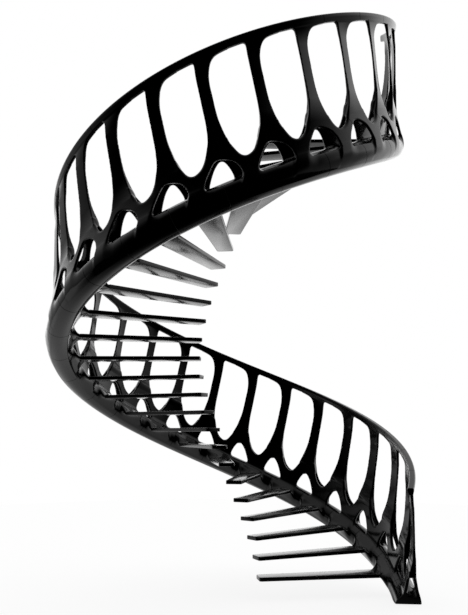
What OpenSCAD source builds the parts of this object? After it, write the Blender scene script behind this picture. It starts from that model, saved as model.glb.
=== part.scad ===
/* [Flight] */
// Number of treads, and of balustrade modules above the start module
module_count = 27; // [8:1:28]
// Turn of the helix from one module to the next, in degrees
step_angle = 14.03; // [12:0.01:16]
// Rise from one tread to the next
riser = 160; // [140:1:180]

/* [Stringer tube] */
// Radius of the stringer's centre line in plan
tube_path_radius = 1517; // [1400:1:1800]
// Radius of the stringer tube itself
tube_radius = 105; // [92:1:118]
// Depth of the tube's centre below the tread top, where a module's tube starts
tube_drop = 114; // [97:1:131]

/* [Handrail] */
// Offset of the handrail's centre line outwards from the tube's centre line
rail_offset = 68; // [56:1:80]
// Width of the handrail's flat top
rail_width = 54; // [45:1:65]
// Height of the handrail's section
rail_height = 58; // [48:1:70]
// Height of the handrail's centre above the tread top, where a module's rail ends
rail_level = 1058; // [950:1:1150]
// Turn of the handrail on the start module, in degrees
rail_start_run = 11; // [9:0.5:13]

/* [Ribs] */
// Width of a rib at its waist
rib_waist = 90; // [72:1:108]
// Depth of a rib at its waist
rib_depth = 24; // [19:1:30]
// Offset of a rib's outer face from the tube's centre line, at the waist
waist_offset = 56; // [45:1:68]
// Twist of a rib about its own length, that turns its lower edge outwards, in degrees
rib_twist = 11; // [9:1:13]
// Height of the crotch, where the legs part, above the tread top
crotch_level = 258; // [220:1:300]
// Width of a rib at the crotch
crotch_width = 138; // [115:1:160]
// Depth of a rib at the crotch
crotch_depth = 62; // [52:1:74]
// Depth of one leg strand, measured along the plan radius
strand_depth = 29; // [24:1:35]
// Offset of the outer strands' face from the tube's centre line, where they swell out over the tube
swell_offset = 119; // [112:1:135]
// Offset of the inner strands' centre, inwards from the tube's centre line, where they land on the tube
inner_offset = 34; // [28:1:40]

/* [Treads] */
// Distance of a tread's free end from the helix axis
tread_tip_radius = 259; // [220:1:400]
// Offset of a tread's seat on its boss, inwards from the tube's centre line
tread_seat_offset = 176; // [150:1:205]
// Width of a tread at its free end
tread_tip_width = 150; // [120:1:180]
// Width of a tread at its seat
tread_seat_width = 226; // [180:1:260]
// Thickness of a tread
tread_thickness = 34; // [27:1:41]
// Radius of the tread's corners at the free end
tread_corner = 14; // [4:1:25]
// Width of the boss where it meets the tube
boss_width = 300; // [250:1:350]
// Height of the boss where it meets the tube
boss_height = 150; // [125:1:175]

/* [Foot] */
// Height of the tube's centre above the floor, where the first module starts
foot_level = 74; // [62:1:88]
// Turn of the foot, from its blunt end to the first module, in degrees
foot_run = 8.5; // [7.5:0.1:10]

/* [Hidden] */
tread_count = module_count - 1;
tread_pairs = ceil(tread_count / 2);
function two_digits(i) = str(i < 10 ? "0" : "", i);
function module_name(k) = str("balustrade_module_", two_digits(k));
function pair_name(p) = str("treads_", two_digits(2 * p - 1), "_", two_digits(2 * p));

finish = [0.03, 0.03, 0.035];
tube_sides = 10;
boss_sides = 8;
first_tread_top = foot_level + tube_drop;
rail_path_radius = tube_path_radius + rail_offset;
tread_seat_radius = tube_path_radius - tread_seat_offset;
tube_slope = atan(riser / (tube_path_radius * step_angle * PI / 180));
rail_slope = atan(riser / (rail_path_radius * step_angle * PI / 180));
tread_angle = step_angle * 0.54;
foot_angle = foot_run / 2;

// Directions at a plan angle: outwards, along the flight, and up the flight at a slope
function outward(a) = [cos(a), sin(a), 0];
function along(a) = [-sin(a), cos(a), 0];
function lean(a, slope) = cos(slope) * along(a) + sin(slope) * [0, 0, 1];
function square_to(a, slope) = -sin(slope) * along(a) + cos(slope) * [0, 0, 1];
function spot(a, r, z) = [r * cos(a), r * sin(a), z];

// An outline's points laid round a centre, spanned by two half axes
function laid(outline, centre, u, v) = [for (p = outline) centre + p[0] * u + p[1] * v];
function ring(sides) =
    [for (i = [0 : sides - 1]) let (turn = 360 * (i + 0.5) / sides) [cos(turn), sin(turn)]];

// Outlines in half widths and half depths: the rib is a blade with a flat outer face and a narrower back,
// a leg's strand is a flat strap, and the handrail has a flat top and closes to a narrow edge below
rib_outline = [[0.98, 1], [-0.98, 1], [-0.82, -1], [0.82, -1]];
strand_outline = [[0.84, 1], [-0.84, 1], [-0.87, -0.8], [0.87, -0.8]];
rail_outline = [[1, 0.7], [0.8, 1], [-0.8, 1], [-1, 0.7], [-0.35, -1], [0.35, -1]];

// A closed skin stretched over a row of sections, each with the same number of points
module bone(sections) {
    n = len(sections[0]);
    last = (len(sections) - 1) * n;
    walls = [for (i = [0 : len(sections) - 2], j = [0 : n - 1])
        let (low = i * n, next = (j + 1) % n)
        each [[low + j, low + next, low + n + next], [low + j, low + n + next, low + n + j]]];
    first_cap = [for (j = [n - 1 : -1 : 0]) j];
    last_cap = [for (j = [0 : n - 1]) last + j];
    corners = [for (section = sections) each section];
    polyhedron(points = corners, faces = concat(walls, [first_cap, last_cap]));
}

// Sections of the stringer tube and of the handrail, at an angle past the module's start;
// the tube's flats and corners lie as far inside as outside its round
function tube_section(a) =
    let (corner = tube_radius * 2 / (1 + cos(180 / tube_sides)))
    laid(ring(tube_sides), spot(a, tube_path_radius, riser * a / step_angle - tube_drop),
         corner * outward(a), corner * square_to(a, tube_slope));
function rail_section(a) =
    laid(rail_outline, spot(a, rail_path_radius, rail_level + riser * a / step_angle),
         rail_width / 2 * outward(a), rail_height / 2 * square_to(a, rail_slope));

// One direction turned towards another by an angle
function turned(u, v, angle) = cos(angle) * u + sin(angle) * v;

// Plan radius of the outer face: 0 at the waist of a rib, 1 where the legs swell out over the tube
function face_radius(swell) = tube_path_radius + waist_offset + swell * (swell_offset - waist_offset);

// The rib, from the crotch up into the handrail: turn as a share of a step, height as a share of the way
// from the crotch to the handrail, tilt, width, depth, swell of its outer face, and share of the twist
rib_top_depth = 0.6 * rail_width;
rib_top_swell = (rail_offset + rib_top_depth / 2 - waist_offset) / (swell_offset - waist_offset);
rib_stations = [
    [-0.125, 0.00, 5, crotch_width, crotch_depth, 0.08, 0.3],
    [-0.206, 0.16, 10, rib_waist * 1.34, (crotch_depth + rib_depth) / 2, 0, 1],
    [-0.315, 0.37, 13, rib_waist * 1.06, rib_depth, 0.05, 1],
    [-0.399, 0.565, 13, rib_waist, rib_depth, 0.11, 1],
    [-0.452, 0.72, 14, rib_waist, rib_depth, 0.16, 1],
    [-0.481, 0.87, 18, rib_waist * 1.38, rib_depth, 0.25, 0.6],
    [-0.470, 1.00, 22, rib_waist * 2.6, rib_top_depth, rib_top_swell, 0]
];
function rib_height(share) = crotch_level + share * (rail_level - riser / 2 - crotch_level);

// A leg in the module's own plane: turn as a share of a step, height as a share of the crotch's,
// tilt, width as a share of the crotch's, and swell of its outer face
right_leg = [
    [0.530, -0.27, 22, 1.38, 0.5],
    [0.485, 0.04, 22, 1.30, 0.95],
    [0.422, 0.28, 42, 1.10, 0.68],
    [0.115, 0.70, 50, 0.88, 0.24],
    [-0.148, 1.16, 20, 0.81, 0.05]
];
left_leg_seam = [-0.370, 0.43, -43, 0.54, 0.27];
left_leg_upper = [left_leg_seam, [-0.257, 0.756, -30, 0.67, 0.15], [-0.163, 1.16, -8, 0.81, 0.05]];
rise_share = riser / crotch_level;
function next_module(s) = [s[0] + 1, s[1] + rise_share, s[2], s[3], s[4]];
left_leg_lower = [
    [0.446, 0.35 * (rise_share + left_leg_seam[1]), -8, 1.01, 0.85],
    [0.532, 0.69 * (rise_share + left_leg_seam[1]), -38, 0.75, 0.5],
    next_module(left_leg_seam)
];

// Plan radius of a strand's centre: both start side by side at the crotch and part towards the tube
function strand_radius(outer, swell) =
    let (back = tube_path_radius + waist_offset - crotch_depth + strand_depth / 2)
    outer ? face_radius(swell) - strand_depth / 2 : back + swell * (tube_path_radius - inner_offset - back);

module rib() {
    bone([for (s = rib_stations)
        let (
            a = s[0] * step_angle,
            centre = spot(a, face_radius(s[5]) - s[4] / 2, rib_height(s[1])),
            twist = s[6] * rib_twist
        )
        laid(rib_outline, centre, s[3] / 2 * turned(lean(a, s[2]), outward(a), -twist),
             s[4] / 2 * turned(outward(a), lean(a, s[2]), twist))]);
}

// One leg, made of an outer and an inner strand with a tunnel between them
module leg(stations) {
    for (outer = [true, false])
        bone([for (s = stations)
            let (
                a = s[0] * step_angle,
                centre = spot(a, strand_radius(outer, s[4]), s[1] * crotch_level),
                half_width = s[3] * crotch_width / 2
            )
            laid(strand_outline, centre, half_width * lean(a, s[2]), strand_depth / 2 * outward(a))]);
}

module tube(from, to, pieces) {
    bone([for (i = [0 : pieces]) tube_section(from + (to - from) * i / pieces)]);
}

module rail(from, to, pieces) {
    bone([for (i = [0 : pieces]) rail_section(from + (to - from) * i / pieces)]);
}

// The trumpet that carries a tread: from inside the tube down to the tread's own section
module tread_boss() {
    facet = cos(180 / boss_sides);
    neck_radius = (tread_seat_radius + tube_path_radius - tube_radius) / 2;
    neck_width = (boss_width + 3 * tread_seat_width) / 4;
    neck_height = (boss_height + 2 * tread_thickness) / 3;
    function boss_section(r, width, height) =
        laid(ring(boss_sides), spot(tread_angle, r, -tread_thickness / 2),
             width / 2 / facet * along(tread_angle), [0, 0, height / 2 / facet]);
    bone([
        boss_section(tube_path_radius - tube_radius / 2, boss_width, boss_height),
        boss_section(neck_radius, neck_width, neck_height),
        boss_section(tread_seat_radius, tread_seat_width, tread_thickness)
    ]);
}

// Puts a shape on the k-th module's place along the helix
module on_helix(k) {
    translate([-tube_path_radius, 0, first_tread_top + (k - 1) * riser])
        rotate(foot_angle + (k - 1) * step_angle)
            children();
}

// A block under the floor, that trims the lower end flat
module under_floor() {
    reach = 4 * tube_radius;
    translate([-reach, -reach, -reach])
        cube([2 * reach, 3 * reach, reach]);
}

module balustrade_module(k) {
    color(finish) difference() {
        on_helix(k) union() {
            tube(0, step_angle, 2);
            rail(-step_angle, 0, 2);
            rib();
            leg(right_leg);
            leg(left_leg_upper);
            if (k < module_count) {
                leg(left_leg_lower);
                tread_boss();
            }
        }
        if (k == 1)
            under_floor();
    }
}

// The start module stands on the floor: a short tube, one rib on its right leg, and the handrail's free end
module start_module() {
    color(finish) difference() {
        on_helix(0) union() {
            tube(step_angle - foot_run, step_angle, 1);
            rail(-rail_start_run, 0, 2);
            rib();
            leg(right_leg);
            leg(left_leg_lower);
        }
        under_floor();
    }
}

module tread(k) {
    tip = tread_tip_width / 2;
    seat = tread_seat_width / 2;
    color(finish) on_helix(k) rotate(tread_angle) translate([0, 0, -tread_thickness])
        linear_extrude(tread_thickness)
            polygon([
                [tread_tip_radius, -tip + tread_corner],
                [tread_tip_radius + tread_corner, -tip],
                [tread_seat_radius, -seat],
                [tread_seat_radius, seat],
                [tread_tip_radius + tread_corner, tip],
                [tread_tip_radius, tip - tread_corner]
            ]);
}

module tread_pair(p) {
    for (k = [2 * p - 1 : min(2 * p, tread_count)])
        tread(k);
}

start_module();
for (k = [1 : module_count])
    balustrade_module(k);
for (p = [1 : tread_pairs])
    tread_pair(p);
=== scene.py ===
# %% [markdown]
# A helical staircase in black lacquer. A round tube climbs on a helix, and slim treads reach inwards from
# it. A guard of bone-like ribs stands on the tube and carries the handrail. The whole flight is one
# moulded module that repeats 27 times, so the lesson makes that module once, as a smooth skin, and sets
# it out along the helix.

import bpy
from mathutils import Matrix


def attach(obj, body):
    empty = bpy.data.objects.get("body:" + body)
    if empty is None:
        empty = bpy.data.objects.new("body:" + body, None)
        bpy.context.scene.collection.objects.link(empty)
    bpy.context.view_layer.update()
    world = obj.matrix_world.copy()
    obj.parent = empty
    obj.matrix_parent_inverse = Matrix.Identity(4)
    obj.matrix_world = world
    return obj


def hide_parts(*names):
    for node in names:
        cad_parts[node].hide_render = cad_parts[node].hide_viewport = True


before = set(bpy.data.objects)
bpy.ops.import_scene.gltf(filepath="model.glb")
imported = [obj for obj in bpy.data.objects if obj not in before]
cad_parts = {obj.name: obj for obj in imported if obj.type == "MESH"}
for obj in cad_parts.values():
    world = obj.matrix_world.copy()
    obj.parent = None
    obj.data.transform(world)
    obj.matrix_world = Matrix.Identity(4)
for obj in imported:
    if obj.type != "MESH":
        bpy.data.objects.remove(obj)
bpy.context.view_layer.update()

# %% [markdown]
# The shapes are worked out with arrays of numbers, because thousands of points can then be handled at once.
# The mesh tools cut, cap and bevel them, and the rest places them and gives them their finish.

# %% Libraries
import math

import bmesh
import bpy
import numpy as np
from mathutils import Matrix, Vector

print("Blender", bpy.app.version_string)

# %% [markdown]
# The helix comes first, because every piece is placed by it. One step turns the flight a little and lifts
# it by one riser. Each module is modelled at the first step's place round the helix axis, in millimetres,
# and a single matrix per step then carries its mesh to its own place in metres. The sizes repeat those of
# the CAD part.

# %% The helix
MODULES = 27
STEP = 14.03
RISER = 160.0
CLIMB = RISER / STEP
TUBE_PATH = 1517.0
TUBE_RADIUS = 105.0
TUBE_DROP = 114.0
FOOT_RUN = 8.5
FIRST_TREAD_TOP = 74.0 + TUBE_DROP


def place_on_helix(k):
    """The matrix that carries a mesh from the module's own frame, in millimetres, to step k, in metres."""
    lift = Matrix.Translation((-TUBE_PATH / 1000, 0, (FIRST_TREAD_TOP + (k - 1) * RISER) / 1000))
    turn = Matrix.Rotation(math.radians(FOOT_RUN / 2 + (k - 1) * STEP), 4, "Z")
    return lift @ turn @ Matrix.Scale(0.001, 4)


def slope_at(radius):
    """The climb of the helix at a plan radius, as an angle."""
    return math.atan(RISER / (radius * math.radians(STEP)))


print("slope of the tube: %.1f degrees" % math.degrees(slope_at(TUBE_PATH)))

# %% [markdown]
# The camera stands at about eye height and looks up a little, and the upper flight climbs across the
# front. A fairly wide view takes in the whole stair. It is made early, so that every later step can be
# looked at.

# %% Camera
camera = bpy.data.objects.new("camera", bpy.data.cameras.new("camera"))
camera.data.sensor_fit = "VERTICAL"
camera.data.sensor_height = 36
camera.data.lens = 41.19
camera.data.clip_end = 200
camera.location = (-1.3241, -6.4243, 1.4526)
camera.rotation_euler = (math.radians(99.838), 0, math.radians(1.309))
bpy.context.scene.collection.objects.link(camera)
bpy.context.scene.camera = camera
print("camera at", tuple(round(v, 3) for v in camera.location))

# %% [markdown]
# The modules are moulded, and where limbs meet, their skins run into each other with wide fillets.
# Booleans and bevels make poor fillets on such forms. A distance field does it well: each limb is a
# function that says how far a point lies from its skin, and a soft minimum of two such functions joins
# them with a fillet of a chosen width.

# %% Soft joining of two fields
def soft_join(a, b, fillet):
    near = np.maximum(fillet - np.abs(a - b), 0) / fillet
    return np.minimum(a, b) - near * near * fillet / 4


def polar(p):
    """Turn in degrees and plan radius of points in the module's frame."""
    return np.degrees(np.arctan2(p[:, 1], p[:, 0])), np.hypot(p[:, 0], p[:, 1])


def spot(turn, radius, height):
    a = np.radians(turn)
    return np.stack(np.broadcast_arrays(radius * np.cos(a), radius * np.sin(a), height), -1)


joined = soft_join(np.array(10.0), np.array(10.0), 40)
print("two skins 10 mm off, joined with a 40 mm fillet: %.0f mm off" % joined)

# %% [markdown]
# The stringer is a round tube that follows the helix. Its field is the distance from the helix, less the
# radius. The handrail is a bar with a flat top that closes to a narrow edge below, so that a hand can
# wrap it. Its field is the distance from that outline, measured in the plane square to the rail's run,
# with a small edge radius.

# %% Fields of the tube and the handrail
RAIL_PATH = TUBE_PATH + 68
RAIL_WIDTH = 54.0
RAIL_HEIGHT = 58.0
RAIL_LEVEL = 1058.0
RAIL_EDGE = 5.0
RAIL_OUTLINE = [
    (1, 0.7), (0.8, 1), (-0.8, 1), (-1, 0.7), (-0.85, 0.1), (-0.35, -1), (0.35, -1), (0.85, 0.1),
]


def tube_field(p):
    turn, radius = polar(p)
    over = (p[:, 2] - CLIMB * turn + TUBE_DROP) * math.cos(slope_at(TUBE_PATH))
    return np.hypot(radius - TUBE_PATH, over) - TUBE_RADIUS


def outline_field(x, y, corners):
    """Signed distance from a closed outline whose corners run counter-clockwise."""
    best = np.full(x.shape, 1e9)
    inside = np.ones(x.shape, bool)
    for (ax, ay), (bx, by) in zip(corners, corners[1:] + corners[:1]):
        ex, ey = bx - ax, by - ay
        t = np.clip(((x - ax) * ex + (y - ay) * ey) / (ex * ex + ey * ey), 0, 1)
        best = np.minimum(best, np.hypot(x - ax - t * ex, y - ay - t * ey))
        inside &= (ex * (y - ay) - ey * (x - ax)) >= 0
    return np.where(inside, -best, best)


def rail_field(p):
    turn, radius = polar(p)
    over = (p[:, 2] - RAIL_LEVEL - CLIMB * turn) * math.cos(slope_at(RAIL_PATH))
    w, h = RAIL_WIDTH / 2 - RAIL_EDGE, RAIL_HEIGHT / 2 - RAIL_EDGE
    return outline_field(radius - RAIL_PATH, over, [(x * w, y * h) for x, y in RAIL_OUTLINE]) - RAIL_EDGE


tube_centre = spot(np.zeros(1), TUBE_PATH, -TUBE_DROP)
print("the tube's centre lies %.0f mm inside its skin" % -tube_field(tube_centre)[0])

# %% [markdown]
# Seen from outside, the guard is a sheet with two kinds of openings, a tall one between the ribs and a
# small triangle between the legs. Unrolled along the helix it repeats at every step, so one outline of
# each is enough. The points give the turn as a share of a step and the level over the helix, and a smooth
# curve closes them. The triangle has two outlines, because the inner strands of the legs stand closer
# together than the outer ones.

# %% Outlines of the openings
TALL_OPENING = [
    (-0.09, 1018), (0.13, 1027), (0.31, 1029), (0.350, 1017), (0.380, 985), (0.411, 905), (0.448, 825),
    (0.488, 745), (0.528, 665), (0.568, 585), (0.608, 505), (0.638, 425), (0.649, 377), (0.650, 329),
    (0.624, 265), (0.594, 217), (0.547, 171), (0.482, 144), (0.398, 132), (0.313, 147), (0.243, 177),
    (0.173, 217), (0.095, 265), (-0.001, 345), (-0.079, 425), (-0.149, 505), (-0.209, 601), (-0.259, 697),
    (-0.307, 785), (-0.330, 857), (-0.330, 905), (-0.305, 961), (-0.237, 1000),
]
OUTER_TRIANGLE = [
    (-0.197, 170), (-0.257, 142), (-0.307, 102), (-0.357, 54), (-0.382, 10), (-0.378, -22), (-0.340, -45),
    (-0.250, -56), (0.000, -60), (0.200, -58), (0.285, -50), (0.315, -30), (0.312, -2), (0.290, 28),
    (0.235, 72), (0.113, 126), (-0.087, 168),
]
INNER_TRIANGLE = [
    (-0.135, 174), (-0.220, 137), (-0.284, 80), (-0.328, 18), (-0.346, -40), (-0.338, -119), (-0.260, -183),
    (-0.037, -199), (0.172, -175), (0.200, -103), (0.198, -40), (0.178, 2), (0.146, 46), (0.072, 104),
    (-0.010, 152), (-0.068, 172),
]
SHEET_RADIUS = TUBE_PATH + 50
STEP_LENGTH = SHEET_RADIUS * math.radians(STEP)


def closed_curve(points, parts=8):
    """A smooth closed curve through a ring of points."""
    p = np.array(points, float)
    before, after, beyond = np.roll(p, 1, 0), np.roll(p, -1, 0), np.roll(p, -2, 0)
    s = (np.arange(parts) / parts)[:, None, None]
    curve = p + 0.5 * s * (after - before + s * (2 * before - 5 * p + 4 * after - beyond
                                                 + s * (3 * (p - after) + beyond - before)))
    return np.moveaxis(curve, 0, 1).reshape(-1, 2)


def unrolled(share, level):
    """Millimetres along the flight and upwards, on the unrolled sheet."""
    return share * STEP_LENGTH, level + RISER * share


def hole_field(x, y, curve):
    """Signed distance from a closed curve on the unrolled sheet, negative inside the hole."""
    cx, cy = unrolled(curve[:, 0], curve[:, 1])
    best = np.full(x.shape, 1e9)
    inside = np.zeros(x.shape, bool)
    for ax, ay, bx, by in zip(cx, cy, np.roll(cx, -1), np.roll(cy, -1)):
        ex, ey = bx - ax, by - ay
        t = np.clip(((x - ax) * ex + (y - ay) * ey) / (ex * ex + ey * ey), 0, 1)
        best = np.minimum(best, (x - ax - t * ex) ** 2 + (y - ay - t * ey) ** 2)
        if ay != by:
            inside ^= ((ay > y) != (by > y)) & (x < ax + (y - ay) * ex / ey)
    return np.where(inside, -1, 1) * np.sqrt(best)


tall_curve = closed_curve(TALL_OPENING)
print("outline of the tall opening:", len(tall_curve), "points")

# %% [markdown]
# The distance from these outlines is worked out once, on a fine flat grid over one step, evened out a
# little, and looked up later for any point of the guard. The start module has no left leg of its own and
# the last one carries no next module, so they get one more cut-out each.

# %% The sheet's distance map
SHEET_GAP = 2.5
EVENING_ROUNDS = 4
sheet_shares = np.arange(-0.75, 1.25, SHEET_GAP / STEP_LENGTH)
sheet_levels = np.arange(-270, 1120, SHEET_GAP)
NO_LEFT_LEG = [
    (-0.36, 345), (-0.318, 282), (-0.262, 232), (-0.19, 198), (-0.09, 172), (-0.10, 60), (-0.1, -180),
    (-0.7, -180), (-0.9, 100), (-0.7, 345),
]
NO_NEXT_LEG = [
    (0.25, 176), (0.33, 135), (0.40, 85), (0.45, 20), (0.47, -60), (0.47, -180), (0.8, -220),
    (1.1, -180), (1.1, 100), (0.8, 300), (0.6, 250), (0.4, 160),
]


def sheet_map(curve, extra=None):
    x, y = unrolled(*np.meshgrid(sheet_shares, sheet_levels, indexing="ij"))
    sheet = np.full(x.shape, -1e9)
    for shift in (-1, 0, 1):
        sheet = np.maximum(sheet, -hole_field(x, y, curve + [shift, 0]))
    if extra:
        sheet = np.maximum(sheet, -hole_field(x, y, closed_curve(extra)))
    for axis, inner_rows in ((0, np.s_[1:-1, :]), (1, np.s_[:, 1:-1])):
        for _ in range(EVENING_ROUNDS):
            even = (np.roll(sheet, -1, axis) + 2 * sheet + np.roll(sheet, 1, axis)) / 4
            sheet[inner_rows] = even[inner_rows]
    return sheet


def sheet_field(turn, level, sheet):
    """The map's value at any turn and level, blended between its four nearest grid points."""
    share_gap = sheet_shares[1] - sheet_shares[0]
    u = np.clip((turn / STEP - sheet_shares[0]) / share_gap, 0, len(sheet_shares) - 1.001)
    v = np.clip((level - sheet_levels[0]) / SHEET_GAP, 0, len(sheet_levels) - 1.001)
    i, j = u.astype(int), v.astype(int)
    a, b = u - i, v - j
    return ((sheet[i, j] * (1 - b) + sheet[i, j + 1] * b) * (1 - a)
            + (sheet[i + 1, j] * (1 - b) + sheet[i + 1, j + 1] * b) * a)


common_sheet = sheet_map(tall_curve)
start_sheet = sheet_map(tall_curve, NO_LEFT_LEG)
last_sheet = sheet_map(tall_curve, NO_NEXT_LEG)
outer_rim = sheet_map(closed_curve(OUTER_TRIANGLE))
inner_rim = sheet_map(closed_curve(INNER_TRIANGLE))
print("sheet map:", common_sheet.shape, "deepest point %.0f mm inside the material" % -common_sheet.min())

# %% [markdown]
# Seen from the end, the sheet is far from flat. Its outer face swings in from the handrail to the waist
# of the ribs and out again over the side of the tube. A rib is a thin blade, twisted a little about its
# own length. At the crotch it grows deep, and below it the legs part into an outer and an inner strand.
# The outer one swells past the tube, the inner one lands on top of it, and a tunnel runs between them
# along the flight. The curves below give these radii and depths by level.

# %% Curves of the guard's faces and strands
OUTER_FACE = [
    (-230, 1560), (-180, 1592), (-140, 1618), (-105, 1630), (-65, 1632), (-20, 1625), (5, 1618), (60, 1607),
    (113, 1599), (170, 1591), (220, 1586), (278, 1581), (340, 1578), (420, 1577), (560, 1578), (649, 1580),
    (740, 1583), (830, 1585), (930, 1588), (1000, 1594), (1058, 1600),
]
OUTER_DEPTH = [
    (-230, 29), (150, 29), (205, 32), (250, 50), (290, 60), (350, 50), (420, 32), (500, 24), (930, 24),
    (1058, 32),
]
INNER_CENTRE = [(-230, 1470), (-70, 1484), (5, 1494), (113, 1511), (209, 1525), (260, 1532), (330, 1545)]
STRAND_DEPTH = 29.0
STRAND_TOP = 320.0
STRAND_EDGE = 16.0
RIB_LINE = [
    (278, -0.13), (425, -0.217), (505, -0.267), (601, -0.315), (697, -0.36), (785, -0.4), (905, -0.45),
    (1058, -0.45),
]
RIB_TWIST = [(230, 0), (420, 1), (880, 1), (1010, 0)]
TWIST = math.tan(math.radians(14))
TWIST_REACH = 80.0
OPENING_EDGE = [(-230, 9), (60, 14), (110, 26), (190, 26), (290, 12), (400, 9), (1058, 9)]
TRIANGLE_EDGE = 12.0
WAIST_LEVEL = 690.0


def along_curve(level, stations):
    """A smooth curve through stations, looked up by level."""
    at, value = np.array(stations, float).T
    rate = np.gradient(value, at)
    level = np.clip(level, at[0], at[-1])
    i = np.clip(np.searchsorted(at, level, side="right") - 1, 0, len(at) - 2)
    span = at[i + 1] - at[i]
    s = (level - at[i]) / span
    start = (1 + 2 * s) * (1 - s) ** 2 * value[i] + s * (1 - s) ** 2 * span * rate[i]
    return start + s * s * (3 - 2 * s) * value[i + 1] + s * s * (s - 1) * span * rate[i + 1]


face_radii = along_curve(np.array([RAIL_LEVEL, WAIST_LEVEL]), OUTER_FACE)
print("outer face: %.0f mm from the axis at the handrail, %.0f mm at the ribs' waist" % tuple(face_radii))

# %% [markdown]
# Over the tube the outer face stands proud of it. Under a triangle it sinks back to the tube's own skin,
# slowly from the left leg and in a short fold at the right one. Two ramps along the flight say how far it
# sinks.

# %% The fold under the triangles
LEFT_SINK = (-0.46, -0.2)
RIGHT_FOLD = (0.26, 0.34)
SINK_LEVELS = (-60, 20)
SINK_DEPTH = 6.0


def ramp(x, low, high):
    t = np.clip((x - low) / (high - low), 0, 1)
    return t * t * (3 - 2 * t)


def sunken_face(turn, level):
    """Plan radius of the outer face, sunk to the tube's own skin under a triangle."""
    share = (turn / STEP + 0.5) % 1 - 0.5
    between_legs = ramp(share, *LEFT_SINK) - ramp(share, *RIGHT_FOLD)
    over = (level + TUBE_DROP) * math.cos(slope_at(TUBE_PATH))
    tube_skin = TUBE_PATH + np.sqrt(np.maximum(TUBE_RADIUS ** 2 - over ** 2, 0))
    face = along_curve(level, OUTER_FACE)
    return face + between_legs * (1 - ramp(level, *SINK_LEVELS)) * (tube_skin - SINK_DEPTH - face)


sunk, proud = sunken_face(np.array([0, STEP / 2]), np.full(2, SINK_LEVELS[0]))
print("outer face at the tube: %.0f mm from the axis under a triangle, %.0f mm at a leg" % (sunk, proud))

# %% [markdown]
# The guard's field brings the sheet and the faces together. A soft maximum keeps what lies in both and
# rounds the rim between them, so the rims of the openings come out rolled. The sheet ends inside the tube
# and inside the handrail, where nothing of it shows.

# %% The guard's field
SHEET_FOOT = -TUBE_DROP - 76
RIB_RANGE = 0.9
WAIST_SHARE = -0.355
WAIST_RADIUS = 1566.0


def soft_meet(a, b, edge):
    return -soft_join(-a, -b, edge)


def guard_field(p, sheet):
    turn, radius = polar(p)
    level = p[:, 2] - CLIMB * turn
    plan = np.maximum(sheet_field(turn, level, sheet), np.maximum(SHEET_FOOT - level, level - RAIL_LEVEL))
    share = (turn / STEP + RIB_RANGE) % 1 - RIB_RANGE
    aside = (share - np.interp(level, *np.array(RIB_LINE).T)) * STEP_LENGTH
    twist = np.interp(level, *np.array(RIB_TWIST).T) * np.clip(aside, -TWIST_REACH, TWIST_REACH) * TWIST
    depth = along_curve(level, OUTER_DEPTH)
    outer = np.abs(radius - sunken_face(turn, level) + twist + depth / 2) - depth / 2
    outer = soft_meet(plan, outer, along_curve(level, OPENING_EDGE))
    outer = soft_meet(sheet_field(turn, level, outer_rim), outer, TRIANGLE_EDGE)
    inner = np.abs(radius - along_curve(level, INNER_CENTRE)) - STRAND_DEPTH / 2
    inner = soft_meet(plan, np.maximum(inner, level - STRAND_TOP), STRAND_EDGE)
    inner = soft_meet(sheet_field(turn, level, inner_rim), inner, STRAND_EDGE)
    return soft_join(outer, inner, STRAND_EDGE)


waist = spot(np.array([WAIST_SHARE * STEP]), WAIST_RADIUS, WAIST_LEVEL + WAIST_SHARE * RISER)
print("the rib's waist lies %.1f mm inside its skin" % -guard_field(waist, common_sheet)[0])

# %% [markdown]
# A tread grows out of the tube through a trumpet-shaped boss, wide and tall at the tube and as flat as
# the tread at its seat. It is one more limb, that runs inwards along the radius. At the tube it leans
# with the climb, so that no corner of it hangs below, and on its way to the seat it turns level.

# %% The boss
TREAD_TURN = STEP * 0.54
TREAD_SEAT = TUBE_PATH - 176
TREAD_THICKNESS = 34.0
SEAT_WIDTH = 226.0
BOSS_REACHES = (TREAD_SEAT - 20, TREAD_SEAT + 25, TUBE_PATH - TUBE_RADIUS, TUBE_PATH - 40)
BOSS_WIDTH = list(zip(BOSS_REACHES, (SEAT_WIDTH, 228, 258, 300)))
BOSS_HEIGHT = list(zip(BOSS_REACHES, (TREAD_THICKNESS, 38, 92, 150)))
BOSS_ROUNDING = 0.9


def boss_field(p):
    a = math.radians(TREAD_TURN)
    along = p[:, 1] * math.cos(a) - p[:, 0] * math.sin(a)
    reach = p[:, 0] * math.cos(a) + p[:, 1] * math.sin(a)
    half_width = along_curve(reach, BOSS_WIDTH) / 2
    half_height = along_curve(reach, BOSS_HEIGHT) / 2
    edge = half_height * BOSS_ROUNDING
    x = np.abs(along) - half_width + edge
    lean = ramp(reach, TREAD_SEAT, TUBE_PATH - TUBE_RADIUS) * math.tan(slope_at(TUBE_PATH))
    y = np.abs(p[:, 2] + TREAD_THICKNESS / 2 - lean * along) - half_height + edge
    section = np.minimum(np.maximum(x, y), 0) + np.hypot(np.maximum(x, 0), np.maximum(y, 0)) - edge
    return np.maximum(section, np.maximum(BOSS_REACHES[0] - reach, reach - BOSS_REACHES[-1]))


print("boss: %.0f mm wide at the tube, %.0f mm at the seat" % (BOSS_WIDTH[-1][1], SEAT_WIDTH))

# %% [markdown]
# A module's field joins the guard, the tube, the handrail and the boss, each with its own fillet: narrow
# where the strands part, wide where the legs land on the tube and where the boss leaves it. The start and
# the last module carry no tread, so their fields leave the boss out.

# %% The module's field
TUBE_FILLET = 34.0
RAIL_FILLET = 22.0
BOSS_FILLET = 30.0


def module_field(p, sheet=common_sheet, boss=True):
    skin = soft_join(guard_field(p, sheet), tube_field(p), TUBE_FILLET)
    skin = soft_join(skin, rail_field(p), RAIL_FILLET)
    return soft_join(skin, boss_field(p), BOSS_FILLET) if boss else skin


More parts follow.
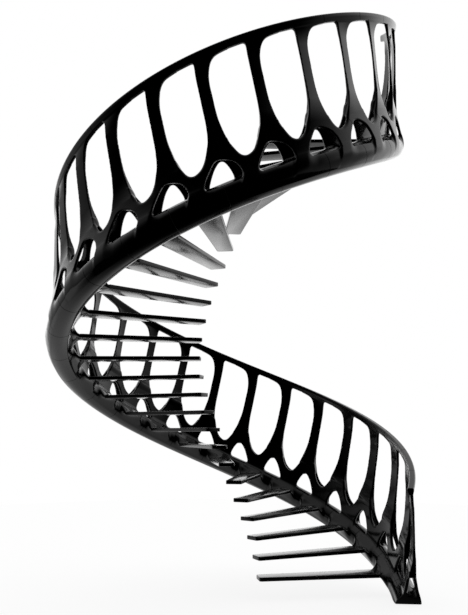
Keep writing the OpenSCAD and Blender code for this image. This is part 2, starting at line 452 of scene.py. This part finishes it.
print("with everything joined, the waist lies %.1f mm inside the skin" % -module_field(waist)[0])

# %% [markdown]
# The skin is where the field is zero. Surface nets find it on a grid. The grid follows the helix, so its
# rows run along the tube and the handrail, and it is finest along the radius, where the limbs are thin.

# %% The field on a grid
GRID_TURN = 0.32
GRID_RADIUS = 6.6
GRID_LEVEL = 9.2
grid_turns = np.arange(-17.5, 17.5, GRID_TURN)
grid_radii = np.arange(1318, 1662, GRID_RADIUS)
grid_levels = np.arange(-252, 1106, GRID_LEVEL)


def on_grid(field):
    """The field's values on the grid, by turn, radius and level."""
    radius, level = (part.ravel() for part in np.meshgrid(grid_radii, grid_levels, indexing="ij"))
    rows = [field(spot(np.full(radius.size, turn), radius, level + CLIMB * turn)) for turn in grid_turns]
    return np.reshape(rows, (len(grid_turns), len(grid_radii), len(grid_levels)))


def edge_ends(values, axis):
    """The values at the low and at the high end of each grid edge that runs along an axis."""
    return np.delete(values, -1, axis), np.delete(values, 0, axis)


common_grid = on_grid(module_field)
print("grid:", common_grid.shape, "with %.1f%% of its points inside" % (100 * (common_grid < 0).mean()))

# %% [markdown]
# Each grid cell that the skin crosses gets one point, the mean of the crossings on the cell's edges. Each
# grid edge that the skin crosses gets a face between the points of the four cells round it. The corners
# of a face are turned round where the field leaves the inside along the edge, so that every face looks
# out.

# %% Surface nets
def net_points(grid):
    shape = tuple(n - 1 for n in grid.shape)
    total = np.zeros(shape + (3,))
    hits = np.zeros(shape)
    for axis in range(3):
        low, high = edge_ends(grid, axis)
        crossed = (low < 0) != (high < 0)
        share = np.where(crossed, low / np.where(crossed, low - high, 1), 0)
        u, v = [other for other in range(3) if other != axis]
        for i, j in ((0, 0), (0, 1), (1, 0), (1, 1)):
            take = [slice(None)] * 3
            take[u] = slice(i, i + shape[u])
            take[v] = slice(j, j + shape[v])
            take = tuple(take)
            hits += crossed[take]
            total[..., axis] += share[take]
            total[..., u] += crossed[take] * i
            total[..., v] += crossed[take] * j
    cells = np.argwhere(hits > 0)
    index = np.full(shape, -1)
    index[tuple(cells.T)] = np.arange(len(cells))
    i, j, k = (cells + total[tuple(cells.T)] / hits[tuple(cells.T)][:, None]).T
    turn = grid_turns[0] + i * GRID_TURN
    level = grid_levels[0] + k * GRID_LEVEL
    return spot(turn, grid_radii[0] + j * GRID_RADIUS, level + CLIMB * turn), index


def net_faces(grid, index):
    quads = []
    for axis in range(3):
        b, c = (axis + 1) % 3, (axis + 2) % 3
        low_inside, high_inside = (values < 0 for values in edge_ends(grid, axis))
        edges = np.argwhere(low_inside != high_inside)
        for side in (b, c):
            edges = edges[(edges[:, side] > 0) & (edges[:, side] < index.shape[side])]
        step_b, step_c = np.eye(3, dtype=int)[[b, c]]
        ring = np.stack([edges - step_b - step_c, edges - step_c, edges, edges - step_b], 1)
        quad = index[ring[..., 0], ring[..., 1], ring[..., 2]]
        leaving = low_inside[tuple(edges.T)]
        quad[leaving] = quad[leaving][:, ::-1]
        quads.append(quad)
    return np.concatenate(quads)


net, cell_index = net_points(common_grid)
quads = net_faces(common_grid, cell_index)
print("net of the common module:", len(net), "points,", len(quads), "faces")

# %% [markdown]
# The net still shows the steps of the grid. A few rounds move each point towards the mean of its
# neighbours, which evens them out, and then back along the field's slope onto the skin. The last rounds
# only pull, so that the points end on the skin to within a millimetre.

# %% Settle the points on the skin
EVEN_ROUNDS = 3
PULL_ROUNDS = 2
LONGEST_PULL = 4.0
LEAST_SLOPE = 0.2


def gradient(field, p, h=0.8):
    return np.stack([field(p + h * e) - field(p - h * e) for e in np.eye(3)], 1) / (2 * h)


def settle(field, points, quads):
    pairs = np.concatenate([quads[:, [i, (i + 1) % 4]] for i in range(4)])
    here, there = np.concatenate([pairs, pairs[:, ::-1]]).T
    count = np.maximum(np.bincount(here, minlength=len(points)), 1)[:, None]
    for step in range(EVEN_ROUNDS + PULL_ROUNDS):
        if step < EVEN_ROUNDS:
            total = np.stack([np.bincount(here, points[there, i], len(points)) for i in range(3)], 1)
            points = points * 0.5 + total / count * 0.5
        slope = gradient(field, points)
        steepness = np.maximum(np.sum(slope * slope, 1, keepdims=True), LEAST_SLOPE)
        pull = field(points)[:, None] * slope / steepness
        points = points - np.clip(pull, -LONGEST_PULL, LONGEST_PULL)
    return points


points = settle(module_field, net, quads)
across, along = points[quads[:, 2]] - points[quads[:, 0]], points[quads[:, 3]] - points[quads[:, 1]]
looks_out = np.sum(np.cross(across, along) * gradient(module_field, points[quads].mean(1)), 1) > 0
print("module skin: %.2f%% of its faces look out" % (100 * looks_out.mean()))
print("farthest point from the true skin: %.3f mm" % np.abs(module_field(points)).max())

# %% [markdown]
# The skin still runs on past the module's ends. Each end is a flat seam: two across the tube, two across
# the handrail, one across the module's own left leg and one across the next module's. A seam is a plane,
# given by its centre, the way out of the module, and how far from the centre it may cut, so that it
# crosses one limb only.

# %% Seams
TUBE_REACH = 150
RAIL_REACH = 70
LEG_REACH = 110
LEG_SEAM_SHARE = -0.345
LEG_SEAM_HEIGHT = 118.0
LEG_SEAM_RADIUS = TUBE_PATH + 28
LEG_SEAM_TILT = math.radians(-43)


def helix_seam(turn, radius, level, forward):
    """A plane square to a helix at a radius and a level: its centre and the way out of the module."""
    a, s = math.radians(turn), slope_at(radius)
    out = Vector((-math.sin(a) * math.cos(s), math.cos(a) * math.cos(s), math.sin(s)))
    centre = Vector((radius * math.cos(a), radius * math.sin(a), level + CLIMB * turn))
    return centre, out if forward else -out


def tube_seam(turn, forward):
    return *helix_seam(turn, TUBE_PATH, -TUBE_DROP, forward), TUBE_REACH


def rail_seam(turn, forward):
    return *helix_seam(turn, RAIL_PATH, RAIL_LEVEL, forward), RAIL_REACH


def leg_seam(shift, forward):
    a = math.radians((LEG_SEAM_SHARE + shift) * STEP)
    lean = math.sin(LEG_SEAM_TILT)
    up = Vector((math.sin(a) * lean, -math.cos(a) * lean, math.cos(LEG_SEAM_TILT)))
    height = LEG_SEAM_HEIGHT + shift * RISER
    centre = Vector((LEG_SEAM_RADIUS * math.cos(a), LEG_SEAM_RADIUS * math.sin(a), height))
    return centre, up if forward else -up, LEG_REACH


common_seams = [
    tube_seam(0, False), tube_seam(STEP, True),
    rail_seam(-STEP, False), rail_seam(0, True),
    leg_seam(0, False), leg_seam(1, True),
]
print("seams of the common module:", len(common_seams))

# %% [markdown]
# The mesh is cut with a plane at each seam, only near the limb that the seam crosses, and split open there.
# The cut lies one chamfer's depth inside the seam. What no longer hangs together with the rib's waist then
# falls away.

# %% Cut a module out of its skin
CHAMFER = 2.2
SEAM_SLAB = 40
CUT_SNAP = 0.2


def cut_at(bm, centre, out, reach):
    def is_near(v):
        away = v.co - centre
        return away.length < reach and abs(away.dot(out)) < SEAM_SLAB
    near = [f for f in bm.faces if all(is_near(v) for v in f.verts)]
    geom = list({e for f in near for e in f.edges}) + list({v for f in near for v in f.verts}) + near
    place = centre - out * CHAMFER
    cut = bmesh.ops.bisect_plane(bm, geom=geom, dist=CUT_SNAP, plane_co=place, plane_no=out)
    bmesh.ops.split_edges(bm, edges=[e for e in cut["geom_cut"] if isinstance(e, bmesh.types.BMEdge)])


def keep_joined_to(bm, place):
    seed = min(bm.verts, key=lambda v: (v.co - place).length)
    kept, edge_of_search = {seed}, [seed]
    while edge_of_search:
        v = edge_of_search.pop()
        fresh = [w for w in (e.other_vert(v) for e in v.link_edges) if w not in kept]
        kept.update(fresh)
        edge_of_search.extend(fresh)
    bmesh.ops.delete(bm, geom=[v for v in bm.verts if v not in kept], context="VERTS")


def open_module(points, quads, seams, floor=None):
    bm = bmesh.new()
    bm.faces.layers.int.new("flat")
    verts = [bm.verts.new(p) for p in points]
    for quad in quads:
        if len(set(quad)) == 4:
            bm.faces.new([verts[i] for i in quad])
    bm.verts.ensure_lookup_table()
    for seam in seams:
        cut_at(bm, *seam)
    if floor is not None:
        geom = bm.verts[:] + bm.edges[:] + bm.faces[:]
        bmesh.ops.bisect_plane(bm, geom=geom, dist=CUT_SNAP, plane_co=(0, 0, floor), plane_no=(0, 0, -1),
                               clear_outer=True)
    keep_joined_to(bm, Vector(waist[0]))
    return bm


common_module = open_module(points, quads, common_seams)
rim_count = sum(e.is_boundary for e in common_module.edges)
print("cut module:", len(common_module.faces), "faces,", rim_count, "edges round its open ends")

# %% [markdown]
# Each open end gets a flat cap. A cap at a seam is then set in and raised to the seam, which leaves a small
# chamfer round it, so that two modules meet in a fine V-shaped line, as the real joints do. A cap on the
# floor stays plain. The caps and chamfers are marked as flat, for their shading later.

# %% Close its ends
RIM_WELD = 1.5


def close_ends(bm, floor=None):
    flat = bm.faces.layers.int["flat"]
    rim = list({v for e in bm.edges if e.is_boundary for v in e.verts})
    bmesh.ops.remove_doubles(bm, verts=rim, dist=RIM_WELD)
    caps = bmesh.ops.holes_fill(bm, edges=[e for e in bm.edges if e.is_boundary], sides=0)["faces"]
    bm.normal_update()
    for face in bm.faces:
        face.smooth = True
    for cap in caps:
        cap[flat] = 1
        on_floor = floor is not None and abs(cap.calc_center_median().z - floor) < 1
        if not on_floor:
            chamfer = bmesh.ops.inset_individual(bm, faces=[cap], thickness=CHAMFER, depth=CHAMFER)
            for face in chamfer["faces"]:
                face[flat] = 1
    odd_edges = sum(not e.is_manifold for e in bm.edges)
    print("closed module: %d faces, %d caps" % (len(bm.faces), len(caps)))
    print("  edges not shared by exactly two faces:", odd_edges)
    return bm


close_ends(common_module)

# %% [markdown]
# Three modules differ. The first of the common ones dips into the floor and is trimmed flat there. The
# top one has no tread and no next module, so its leg lands alone. The start module stands on the floor: a
# short blunt tube, one rib on its right leg, and the handrail's free end. Its flat foot and blunt end are
# part of its field.

# %% First, last and start modules
START_FLOOR = RISER - FIRST_TREAD_TOP
FOOT_EDGE = 6.0
FOOT_ROUND = 14.0
FOOT_REACH = 260
RAIL_START = -11
foot_end, foot_out = helix_seam(STEP - FOOT_RUN, TUBE_PATH, -TUBE_DROP, False)


def start_field(p):
    skin = module_field(p, start_sheet, boss=False)
    past_end = (p - np.array(foot_end)) @ np.array(foot_out)
    beyond_foot = np.maximum(np.linalg.norm(p - np.array(foot_end), axis=1) - FOOT_REACH, 0)
    skin = soft_meet(skin, past_end - beyond_foot, FOOT_ROUND)
    return soft_meet(skin, START_FLOOR - p[:, 2], FOOT_EDGE)


def last_field(p):
    return module_field(p, last_sheet, boss=False)


def skin_of(field):
    grid = on_grid(field)
    net, index = net_points(grid)
    quads = net_faces(grid, index)
    return settle(field, net, quads), quads


first_floor = -FIRST_TREAD_TOP
first_module = close_ends(open_module(points, quads, common_seams, first_floor), first_floor)
last_module = close_ends(open_module(*skin_of(last_field), common_seams[:-1]))
start_seams = [tube_seam(STEP, True), rail_seam(RAIL_START, False), rail_seam(0, True), leg_seam(1, True)]
start_module = close_ends(open_module(*skin_of(start_field), start_seams))
print("start module: the floor lies %.0f mm below its step's level" % -START_FLOOR)

# %% [markdown]
# The treads are slim plates with a straight end, rounded corners and softly rounded edges. Each widens
# towards its boss. A plate is drawn as an outline, extruded, and its long edges are bevelled.

# %% A tread
TREAD_TIP = 259.0
TIP_WIDTH = 150.0
TREAD_CORNER = 22.0
TREAD_EDGE = 5.0
TREAD_FLARE = 1.25
SIDE_START = TREAD_TIP + 90


def half_width_at(x):
    share = (x - TREAD_TIP) / (TREAD_SEAT - TREAD_TIP)
    return TIP_WIDTH / 2 + (SEAT_WIDTH - TIP_WIDTH) / 2 * share ** TREAD_FLARE


def make_tread():
    bm = bmesh.new()
    corner = []
    for a in np.radians(np.linspace(0, 90, 7)):
        corner.append((TREAD_TIP + TREAD_CORNER * (1 - math.cos(a)),
                       TIP_WIDTH / 2 - TREAD_CORNER * (1 - math.sin(a))))
    half = corner + [(x, half_width_at(x)) for x in np.linspace(SIDE_START, TREAD_SEAT, 18)]
    outline = half + [(x, -y) for x, y in half[::-1]]
    a = math.radians(TREAD_TURN)
    placed = [(x * math.cos(a) - y * math.sin(a), x * math.sin(a) + y * math.cos(a)) for x, y in outline]
    base = bm.faces.new([bm.verts.new((x, y, -TREAD_THICKNESS)) for x, y in placed])
    raised = bmesh.ops.extrude_face_region(bm, geom=[base])["geom"]
    top = [v for v in raised if isinstance(v, bmesh.types.BMVert)]
    bmesh.ops.translate(bm, verts=top, vec=(0, 0, TREAD_THICKNESS))
    bmesh.ops.recalc_face_normals(bm, faces=bm.faces[:])
    rims = [e for e in bm.edges if len({round(v.co.z) for v in e.verts}) == 1]
    bmesh.ops.bevel(bm, geom=rims, offset=TREAD_EDGE, segments=4, profile=0.5, affect="EDGES",
                    clamp_overlap=True)
    return bm


tread_plate = make_tread()
print("tread:", len(tread_plate.faces), "faces")

# %% [markdown]
# Both finishes are black lacquer, sprayed in several coats and polished. A dark base under a clear coat
# gives the deep gloss. Sprayed lacquer is never perfectly even, so a slow noise varies the base's tone
# and its roughness, and a fine noise gives the faint orange peel of the spray as a shallow bump. The
# treads are a little duller, from being walked on.

# %% Lacquer
def lacquer(name, dark, light, rough_low, rough_high, coat_rough):
    material = bpy.data.materials.new(name)
    material.use_nodes = True
    nodes, links = material.node_tree.nodes, material.node_tree.links
    shader = nodes["Principled BSDF"]
    shader.inputs["Coat Weight"].default_value = 1.0
    shader.inputs["Coat Roughness"].default_value = coat_rough
    shader.inputs["IOR"].default_value = 1.5
    shader.inputs["Specular IOR Level"].default_value = 0.06
    shader.inputs["Coat IOR"].default_value = 1.45
    place = nodes.new("ShaderNodeTexCoord")
    slow = nodes.new("ShaderNodeTexNoise")
    slow.inputs["Scale"].default_value = 3.5
    slow.inputs["Detail"].default_value = 3
    tone = nodes.new("ShaderNodeMix")
    tone.data_type = "RGBA"
    tone.inputs[6].default_value = (*dark, 1)
    tone.inputs[7].default_value = (*light, 1)
    rough = nodes.new("ShaderNodeMapRange")
    rough.inputs["From Min"].default_value = 0.3
    rough.inputs["From Max"].default_value = 0.7
    rough.inputs["To Min"].default_value = rough_low
    rough.inputs["To Max"].default_value = rough_high
    peel = nodes.new("ShaderNodeTexNoise")
    peel.inputs["Scale"].default_value = 220
    peel.inputs["Detail"].default_value = 1
    bump = nodes.new("ShaderNodeBump")
    bump.inputs["Strength"].default_value = 0.03
    bump.inputs["Distance"].default_value = 0.0004
    links.new(place.outputs["Object"], slow.inputs["Vector"])
    links.new(place.outputs["Object"], peel.inputs["Vector"])
    links.new(slow.outputs["Fac"], tone.inputs["Factor"])
    links.new(tone.outputs[2], shader.inputs["Base Color"])
    links.new(slow.outputs["Fac"], rough.inputs["Value"])
    links.new(rough.outputs["Result"], shader.inputs["Roughness"])
    links.new(peel.outputs["Fac"], bump.inputs["Height"])
    links.new(bump.outputs["Normal"], shader.inputs["Normal"])
    return material


frame_lacquer = lacquer("frame_lacquer", (0.0005, 0.0005, 0.0006), (0.0015, 0.0015, 0.0017),
                        0.18, 0.26, 0.11)
tread_lacquer = lacquer("tread_lacquer", (0.0006, 0.0006, 0.0007), (0.002, 0.002, 0.0022),
                        0.2, 0.28, 0.12)
print("finishes:", frame_lacquer.name, tread_lacquer.name)

# %% [markdown]
# A gloss finish shows every dent in the shading. The field knows the true slope of the skin at every
# point, so the mesh takes its normals from there, and the reflections run as smoothly as on the polished
# moulding. Only the flat ends at the seams and the floor keep the normals of their faces.

# %% Normals from the field
def values_of(items, key, kind=float, width=1):
    """One property of all vertices, corners or faces, as rows."""
    values = np.empty(len(items) * width, kind)
    items.foreach_get(key, values)
    return values.reshape(-1, width)


def with_true_normals(name, bm, field):
    mesh = bpy.data.meshes.new(name)
    bm.to_mesh(mesh)
    slope = gradient(field, values_of(mesh.vertices, "co", width=3))
    slope /= np.maximum(np.linalg.norm(slope, axis=1, keepdims=True), 1e-9)
    corner_vertex = values_of(mesh.loops, "vertex_index", int)[:, 0]
    corners = values_of(mesh.polygons, "loop_total", int)[:, 0]
    face_normals = values_of(mesh.polygons, "normal", width=3).repeat(corners, axis=0)
    flat = values_of(mesh.attributes["flat"].data, "value", int).repeat(corners, axis=0)
    normals = np.where(flat > 0, face_normals, slope[corner_vertex])
    mesh.attributes.remove(mesh.attributes["flat"])
    mesh.normals_split_custom_set(normals.tolist())
    return mesh


common_mesh = with_true_normals("common_module", common_module, module_field)
first_mesh = with_true_normals("first_module", first_module, module_field)
last_mesh = with_true_normals("last_module", last_module, last_field)
start_mesh = with_true_normals("start_module", start_module, start_field)
print("corners with their own normals:", len(common_mesh.loops))

# %% [markdown]
# Now the pieces are set out. Each one takes a copy of its mesh, carried by its step's matrix into the
# shared frame, and stands for the CAD node of the same step. Two treads share one node, so their plates
# are joined.

# %% Set out the modules and treads
SHARP_ANGLE = math.radians(38)


def make_piece(name, node, mesh, material):
    mesh.name = name
    mesh.materials.append(material)
    piece = bpy.data.objects.new(name, mesh)
    bpy.context.scene.collection.objects.link(piece)
    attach(piece, "root")
    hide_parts(node)
    return piece


def placed_copy(mesh, k):
    copy = mesh.copy()
    copy.transform(place_on_helix(k))
    return copy


def tread_mesh(steps):
    joined = bmesh.new()
    plate = bpy.data.meshes.new("plate")
    tread_plate.to_mesh(plate)
    for k in steps:
        placed = placed_copy(plate, k)
        joined.from_mesh(placed)
        bpy.data.meshes.remove(placed)
    bpy.data.meshes.remove(plate)
    mesh = bpy.data.meshes.new("treads")
    joined.to_mesh(mesh)
    joined.free()
    mesh.shade_smooth()
    mesh.set_sharp_from_angle(angle=SHARP_ANGLE)
    return mesh


start = placed_copy(start_mesh, 0)
pieces = [make_piece("start_moulding", "start_module", start, frame_lacquer)]
for k in range(1, MODULES + 1):
    shape = first_mesh if k == 1 else last_mesh if k == MODULES else common_mesh
    name, node = "balustrade_moulding_%02d" % k, "balustrade_module_%02d" % k
    pieces.append(make_piece(name, node, placed_copy(shape, k), frame_lacquer))
for p in range(1, MODULES // 2 + 1):
    steps = (2 * p - 1, 2 * p)
    name, node = "tread_plates_%02d_%02d" % steps, "treads_%02d_%02d" % steps
    pieces.append(make_piece(name, node, tread_mesh(steps), tread_lacquer))
for mesh in (common_mesh, first_mesh, last_mesh, start_mesh):
    bpy.data.meshes.remove(mesh)
print("pieces:", len(pieces), "faces:", sum(len(p.data.polygons) for p in pieces),
      "triangles:", sum(len(p.data.loops) - 2 * len(p.data.polygons) for p in pieces))

# %% [markdown]
# The studio is a white tent that is open and dark behind the camera. It dims far to the left and right,
# downwards and overhead. Each wall is a soft step along one axis of the direction, and the steps are
# multiplied. The camera itself sees only white. In the gloss of the lacquer, faces that look towards the
# camera stay black and those that turn away from it catch the tent, which gives the black its gradients.

# %% Tent
TENT_WALLS = [
    ("Y", -0.62, 0.15, 0, 1),
    ("X", -1, -0.45, 0.3, 1),
    ("X", 0.85, 1, 1, 0.3),
    ("Z", -0.5, 0, 0.34, 1),
    ("Z", 0.35, 1, 1, 0.45),
]


def soft_step(nodes, start, end, first, last):
    """A node whose value goes softly from first to last while its input goes from start to end."""
    step = nodes.new("ShaderNodeMapRange")
    step.interpolation_type = "SMOOTHSTEP"
    step.inputs["From Min"].default_value = start
    step.inputs["From Max"].default_value = end
    step.inputs["To Min"].default_value = first
    step.inputs["To Max"].default_value = last
    return step


def camera_choice(nodes, links, others_see, camera_sees, surface):
    """Shows the camera one shader and all other rays another one."""
    path = nodes.new("ShaderNodeLightPath")
    choose = nodes.new("ShaderNodeMixShader")
    links.new(path.outputs["Is Camera Ray"], choose.inputs[0])
    links.new(others_see.outputs[0], choose.inputs[1])
    links.new(camera_sees.outputs[0], choose.inputs[2])
    links.new(choose.outputs[0], surface)


world = bpy.data.worlds.new("studio")
bpy.context.scene.world = world
world.use_nodes = True
nodes, links = world.node_tree.nodes, world.node_tree.links
nodes.clear()
direction = nodes.new("ShaderNodeTexCoord")
split = nodes.new("ShaderNodeSeparateXYZ")
links.new(direction.outputs["Generated"], split.inputs[0])
brightness = None
for axis, *limits in TENT_WALLS:
    wall = soft_step(nodes, *limits)
    links.new(split.outputs[axis], wall.inputs["Value"])
    if brightness is None:
        brightness = wall.outputs["Result"]
        continue
    times = nodes.new("ShaderNodeMath")
    times.operation = "MULTIPLY"
    links.new(brightness, times.inputs[0])
    links.new(wall.outputs["Result"], times.inputs[1])
    brightness = times.outputs[0]
tent = nodes.new("ShaderNodeBackground")
tent.inputs["Color"].default_value = (1, 1, 1, 1)
links.new(brightness, tent.inputs["Strength"])
white = nodes.new("ShaderNodeBackground")
white.inputs["Color"].default_value = (1, 1, 1, 1)
white.inputs["Strength"].default_value = 1.0
out = nodes.new("ShaderNodeOutputWorld")
camera_choice(nodes, links, tent, white, out.inputs["Surface"])
bpy.context.scene.view_settings.view_transform = "Standard"
print("tent with", len(TENT_WALLS), "soft walls")

# %% [markdown]
# The floor takes only the soft shadow round the foot and melts into the white beyond. A matte surface
# catches the shadow and a glow lifts it to white. In the gloss of the lacquer the floor is a light that
# is bright at the back and fades to dark towards the camera and to the right.

# %% Floor
FLOOR_RADIUS = 9.0
FLOOR_PLACE = (-1.5, 0, -0.001)
BRIGHT_SIDE = (-0.35, 1, 0)

floor_mesh = bpy.data.meshes.new("floor")
disc = bmesh.new()
bmesh.ops.create_circle(disc, cap_ends=True, segments=96, radius=FLOOR_RADIUS)
disc.to_mesh(floor_mesh)
disc.free()
floor = bpy.data.objects.new("floor", floor_mesh)
floor.location = FLOOR_PLACE
bpy.context.scene.collection.objects.link(floor)
paper = bpy.data.materials.new("floor_paper")
paper.use_nodes = True
nodes, links = paper.node_tree.nodes, paper.node_tree.links
nodes.clear()
matte = nodes.new("ShaderNodeBsdfDiffuse")
matte.inputs["Color"].default_value = (0.3, 0.3, 0.3, 1)
glow = nodes.new("ShaderNodeEmission")
glow.inputs["Strength"].default_value = 0.87
both = nodes.new("ShaderNodeAddShader")
links.new(matte.outputs[0], both.inputs[0])
links.new(glow.outputs[0], both.inputs[1])
spot_on_floor = nodes.new("ShaderNodeNewGeometry")
away = nodes.new("ShaderNodeVectorMath")
away.operation = "DOT_PRODUCT"
away.inputs[1].default_value = BRIGHT_SIDE
fade = soft_step(nodes, -0.6, 1.6, 0, 0.55)
in_gloss = nodes.new("ShaderNodeEmission")
links.new(spot_on_floor.outputs["Position"], away.inputs[0])
links.new(away.outputs["Value"], fade.inputs["Value"])
links.new(fade.outputs["Result"], in_gloss.inputs["Strength"])
result = nodes.new("ShaderNodeOutputMaterial")
camera_choice(nodes, links, in_gloss, both, result.inputs["Surface"])
floor_mesh.materials.append(paper)
print("floor disc: radius", FLOOR_RADIUS, "m")
